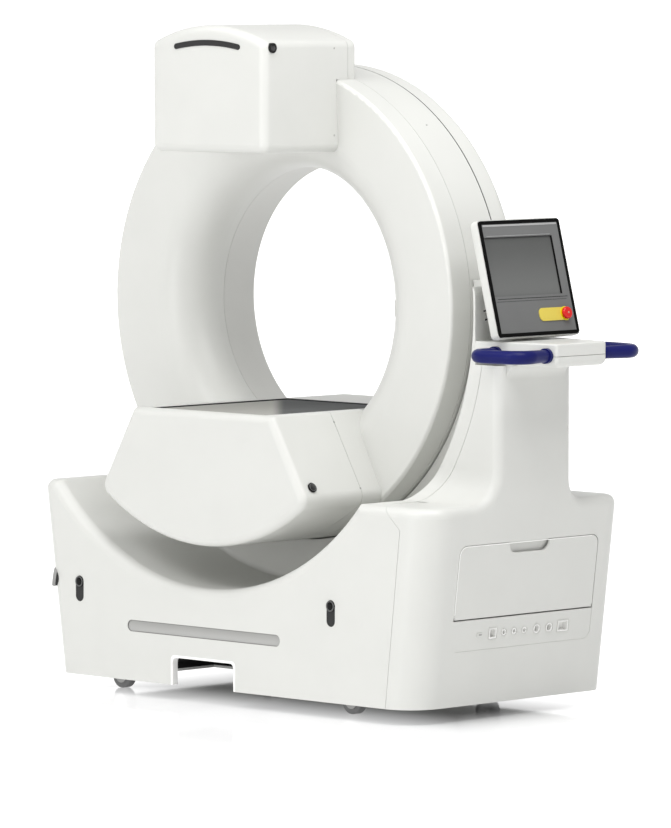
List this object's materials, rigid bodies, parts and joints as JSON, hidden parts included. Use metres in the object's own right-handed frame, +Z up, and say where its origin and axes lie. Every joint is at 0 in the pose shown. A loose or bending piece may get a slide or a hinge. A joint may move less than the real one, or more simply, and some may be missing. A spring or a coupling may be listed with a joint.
{
  "type": "mobile cone-beam ct scanner",
  "caption": "Mobile scanner: an upright ring with a tube box and a detector housing turns in a wheeled base; a side column carries a console, a tray and push handles.",
  "frame": {"origin": "on the floor, at the middle of the outline", "axes": "+Z up, the patient's side faces -Y, the console column is at +X"},
  "size_m": [1.73, 0.814, 1.9],
  "materials": {
    "body_white": "satin off-white moulding",
    "shade_white": "satin off-white moulding",
    "dark_insert": "dark grey insert",
    "grey_insert": "grey insert",
    "lens_black": "black lens",
    "dark_window": "dark radiolucent panel, semi-gloss",
    "rubber_black": "black rubber",
    "handle_blue": "navy blue, glossy",
    "bezel_black": "black bezel",
    "panel_grey": "grey membrane",
    "screen": "unlit display",
    "yellow": "yellow plate",
    "red": "red mushroom head",
    "cast_aluminium": "cast and machined",
    "bearing_steel": "ground steel",
    "frame_paint": "grey powder coat",
    "zinc_steel": "zinc plated steel",
    "wheel_grey": "grey polyurethane",
    "unit_case": "sheet metal case"
  },
  "bodies": {
    "base": {"bearing_outer_race": "bearing_steel", "gantry_frame_ring": "cast_aluminium", "gantry_rear_cover": "body_white", "gantry_bore_liner": "body_white", "base_front_cover": "body_white", "base_left_cover": "body_white", "base_right_cover": "body_white", "base_rear_cover": "body_white", "cradle_cover": "body_white", "light_strip": "grey_insert", "sensor_windows": "lens_black", "docking_frame": "body_white", "docking_bracket": "bezel_black", "side_bumper": "rubber_black", "connector_panel": "body_white", "signal_ports": "body_white", "power_inlet": "body_white", "door_hinge_pin": "zinc_steel", "tray_lower_shell": "body_white", "tray_upper_shell": "body_white", "handle_left": "handle_blue", "handle_right": "handle_blue", "handle_sockets": "handle_blue", "console_arm": "frame_paint", "drive_motor": "unit_case", "chassis_frame": "frame_paint", "power_unit": "unit_case", "control_computer": "unit_case", "caster_plates": "zinc_steel"},
    "rotor": {"rotor_front_cover": "body_white", "rotor_rim_cover": "body_white", "rotor_drum": "cast_aluminium", "bearing_inner_race": "bearing_steel", "tube_box_cover": "body_white", "tube_box_rear_cover": "body_white", "status_light_bar": "dark_insert", "positioning_cameras": "lens_black", "xray_tube_unit": "unit_case", "collimator": "frame_paint", "detector_front_cover": "body_white", "detector_rear_cover": "body_white", "detector_window": "dark_window", "flat_panel_detector": "unit_case"},
    "roller": {"drive_roller": "zinc_steel"},
    "door": {"service_door": "body_white"},
    "console": {"console_front_shell": "body_white", "console_rear_shell": "body_white", "console_bezel": "bezel_black", "control_panel": "panel_grey", "display": "screen", "stop_plate": "yellow"},
    "stop_button": {"stop_button": "red"},
    "fork_front_left": {"caster_fork_front_left": "zinc_steel"},
    "wheel_front_left": {"caster_wheel_front_left": "wheel_grey"},
    "fork_front_right": {"caster_fork_front_right": "zinc_steel"},
    "wheel_front_right": {"caster_wheel_front_right": "wheel_grey"},
    "fork_rear_left": {"caster_fork_rear_left": "zinc_steel"},
    "wheel_rear_left": {"caster_wheel_rear_left": "wheel_grey"},
    "fork_rear_right": {"caster_fork_rear_right": "zinc_steel"},
    "wheel_rear_right": {"caster_wheel_rear_right": "wheel_grey"}
  },
  "joints": [
    {"name": "rotor_turn", "type": "hinge", "parent": "base", "child": "rotor", "pos_m": [-0.193, 0.004, 1.115], "axis": [0, 1, 0], "range_deg": [-190, 190]},
    {"name": "roller_turn", "type": "hinge", "parent": "base", "child": "roller", "pos_m": [0.017, 0.051, 0.43436], "axis": [0, 1, 0], "range_deg": [-3200, 3200]},
    {"name": "door_hinge", "type": "hinge", "parent": "base", "child": "door", "pos_m": [0.64441, 0.0135, 0.2921], "axis": [0, 1, 0], "range_deg": [0, 90]},
    {"name": "console_tilt", "type": "hinge", "parent": "base", "child": "console", "pos_m": [0.64853, 0.014, 1.0771], "axis": [0, 1, 0], "range_deg": [-10, 5]},
    {"name": "stop_press", "type": "slide", "parent": "console", "child": "stop_button", "axis": [-0.9677, 0, -0.2521], "range_m": [0, 0.004], "stiffness_N_per_m": 1000, "springref_m": -0.002},
    {"name": "swivel_front_left", "type": "hinge", "parent": "base", "child": "fork_front_left", "pos_m": [-0.617, -0.274, 0.08], "axis": [0, 0, 1], "continuous": true},
    {"name": "wheel_front_left", "type": "hinge", "parent": "fork_front_left", "child": "wheel_front_left", "pos_m": [-0.643, -0.274, 0.0375], "axis": [0, 1, 0], "continuous": true},
    {"name": "swivel_front_right", "type": "hinge", "parent": "base", "child": "fork_front_right", "pos_m": [0.307, -0.274, 0.08], "axis": [0, 0, 1], "continuous": true},
    {"name": "wheel_front_right", "type": "hinge", "parent": "fork_front_right", "child": "wheel_front_right", "pos_m": [0.281, -0.274, 0.0375], "axis": [0, 1, 0], "continuous": true},
    {"name": "swivel_rear_left", "type": "hinge", "parent": "base", "child": "fork_rear_left", "pos_m": [-0.617, 0.264, 0.08], "axis": [0, 0, 1], "continuous": true},
    {"name": "wheel_rear_left", "type": "hinge", "parent": "fork_rear_left", "child": "wheel_rear_left", "pos_m": [-0.643, 0.264, 0.0375], "axis": [0, 1, 0], "continuous": true},
    {"name": "swivel_rear_right", "type": "hinge", "parent": "base", "child": "fork_rear_right", "pos_m": [0.307, 0.264, 0.08], "axis": [0, 0, 1], "continuous": true},
    {"name": "wheel_rear_right", "type": "hinge", "parent": "fork_rear_right", "child": "wheel_rear_right", "pos_m": [0.281, 0.264, 0.0375], "axis": [0, 1, 0], "continuous": true}
  ],
  "couplings": [
    {"joint": "roller_turn", "follows": "rotor_turn", "ratio": -16.8}
  ]
}
